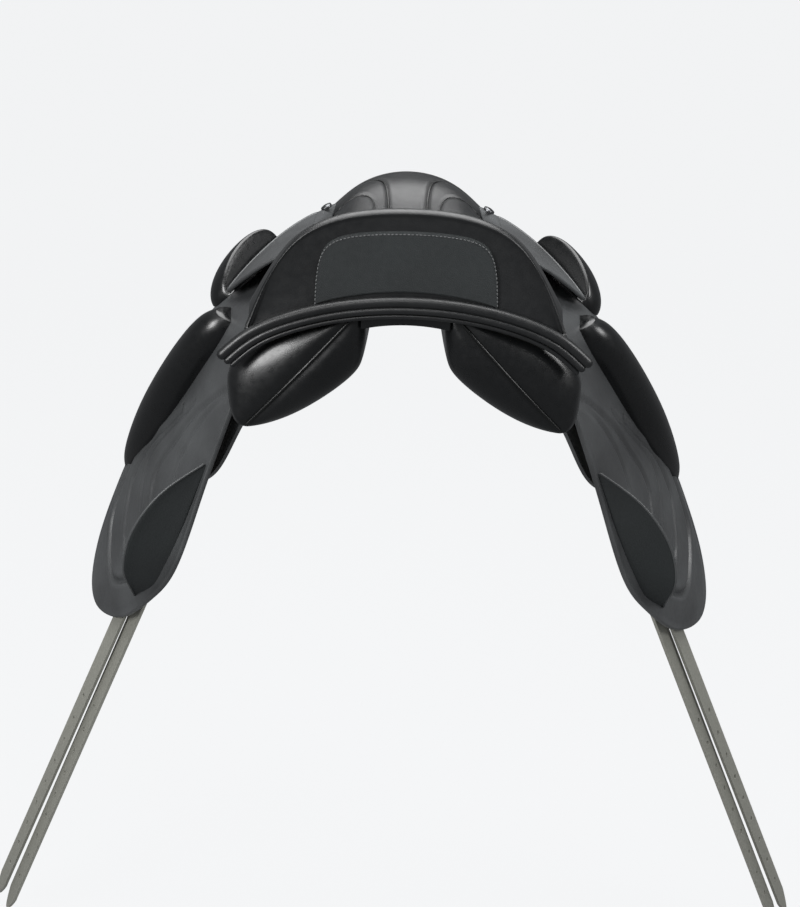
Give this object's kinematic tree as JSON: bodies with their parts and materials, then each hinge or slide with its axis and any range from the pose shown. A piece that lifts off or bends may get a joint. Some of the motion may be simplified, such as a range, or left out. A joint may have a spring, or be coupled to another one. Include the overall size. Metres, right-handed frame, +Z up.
{
  "type": "english saddle",
  "caption": "Dressage saddle with a deep padded seat on a sprung tree, two panels, long hinged flaps with blocks, skirts, stirrup bars and girth billets.",
  "frame": {"origin": "on the roof of the channel between the panels, halfway along the saddle, where it sits over the horse's back", "axes": "+X to the horse's right, +Y to its head, +Z up"},
  "size_m": [1.0456, 0.452, 0.9753],
  "materials": {
    "tree_laminate": "laminated beech under a thin resin skin",
    "webbing": "woven flat strap",
    "foam": "closed-cell foam",
    "seat_leather": "grained calf, semi-matte",
    "smooth_leather": "smooth calf, polished",
    "matte_leather": "buffed, matte",
    "flap_leather": "grained, waxed",
    "billet_leather": "greyed, waxed",
    "steel": "forged and tumbled",
    "nail": "pressed, darkened"
  },
  "bodies": {
    "saddle_tree": {"tree": "tree_laminate", "seat_webbing": "webbing", "girth_webbing": "webbing", "seat_foam": "foam", "seat_cover": "seat_leather", "cantle_back": "smooth_leather", "cantle_inset": "matte_leather", "rear_welt": "smooth_leather", "channel_lining": "smooth_leather", "head_plate": "steel", "head_plate_rivets": "steel", "seat_studs": "nail", "panel_right": "smooth_leather", "panel_left": "smooth_leather", "sweat_flap_right": "flap_leather", "sweat_flap_left": "flap_leather", "billet_web_right": "webbing", "billet_web_left": "webbing", "stirrup_bar_right": "steel", "stirrup_bar_left": "steel", "bar_rivets_right": "steel", "bar_rivets_left": "steel"},
    "flap_right": {"flap_right": "flap_leather", "knee_block_right": "smooth_leather", "thigh_roll_right": "smooth_leather", "calf_block_right": "matte_leather"},
    "skirt_right": {"skirt_right": "flap_leather"},
    "front_billet_right": {"front_billet_right": "billet_leather"},
    "rear_billet_right": {"rear_billet_right": "billet_leather"},
    "bar_catch_right": {"bar_catch_right": "steel"},
    "flap_left": {"flap_left": "flap_leather", "knee_block_left": "smooth_leather", "thigh_roll_left": "smooth_leather", "calf_block_left": "matte_leather"},
    "skirt_left": {"skirt_left": "flap_leather"},
    "front_billet_left": {"front_billet_left": "billet_leather"},
    "rear_billet_left": {"rear_billet_left": "billet_leather"},
    "bar_catch_left": {"bar_catch_left": "steel"}
  },
  "joints": [
    {"name": "flap_right_lift", "type": "hinge", "parent": "saddle_tree", "child": "flap_right", "pos_m": [0.102, 0.02, 0.072], "axis": [0, -1, 0], "range_deg": [0, 70]},
    {"name": "skirt_right_lift", "type": "hinge", "parent": "flap_right", "child": "skirt_right", "pos_m": [0.102, 0.02, 0.076], "axis": [0, -1, 0], "range_deg": [0, 60]},
    {"name": "front_billet_right_swing", "type": "hinge", "parent": "saddle_tree", "child": "front_billet_right", "pos_m": [0.17312, -0.06352, -0.02677], "axis": [0.8511, -0.4336, 0.2961], "range_deg": [-5, 5]},
    {"name": "rear_billet_right_swing", "type": "hinge", "parent": "saddle_tree", "child": "rear_billet_right", "pos_m": [0.16038, -0.07274, -0.02899], "axis": [0.8511, -0.4336, 0.2961], "range_deg": [-5, 5]},
    {"name": "bar_catch_right_turn", "type": "hinge", "parent": "saddle_tree", "child": "bar_catch_right", "pos_m": [0.09, 0.036, 0.02], "axis": [0, 0, -1], "range_deg": [0, 90]},
    {"name": "flap_left_lift", "type": "hinge", "parent": "saddle_tree", "child": "flap_left", "pos_m": [-0.102, 0.02, 0.072], "axis": [0, 1, 0], "range_deg": [0, 70]},
    {"name": "skirt_left_lift", "type": "hinge", "parent": "flap_left", "child": "skirt_left", "pos_m": [-0.102, 0.02, 0.076], "axis": [0, 1, 0], "range_deg": [0, 60]},
    {"name": "front_billet_left_swing", "type": "hinge", "parent": "saddle_tree", "child": "front_billet_left", "pos_m": [-0.17312, -0.06352, -0.02677], "axis": [-0.8511, -0.4336, 0.2961], "range_deg": [-5, 5]},
    {"name": "rear_billet_left_swing", "type": "hinge", "parent": "saddle_tree", "child": "rear_billet_left", "pos_m": [-0.16038, -0.07274, -0.02899], "axis": [-0.8511, -0.4336, 0.2961], "range_deg": [-5, 5]},
    {"name": "bar_catch_left_turn", "type": "hinge", "parent": "saddle_tree", "child": "bar_catch_left", "pos_m": [-0.09, 0.036, 0.02], "axis": [0, 0, 1], "range_deg": [0, 90]}
  ]
}
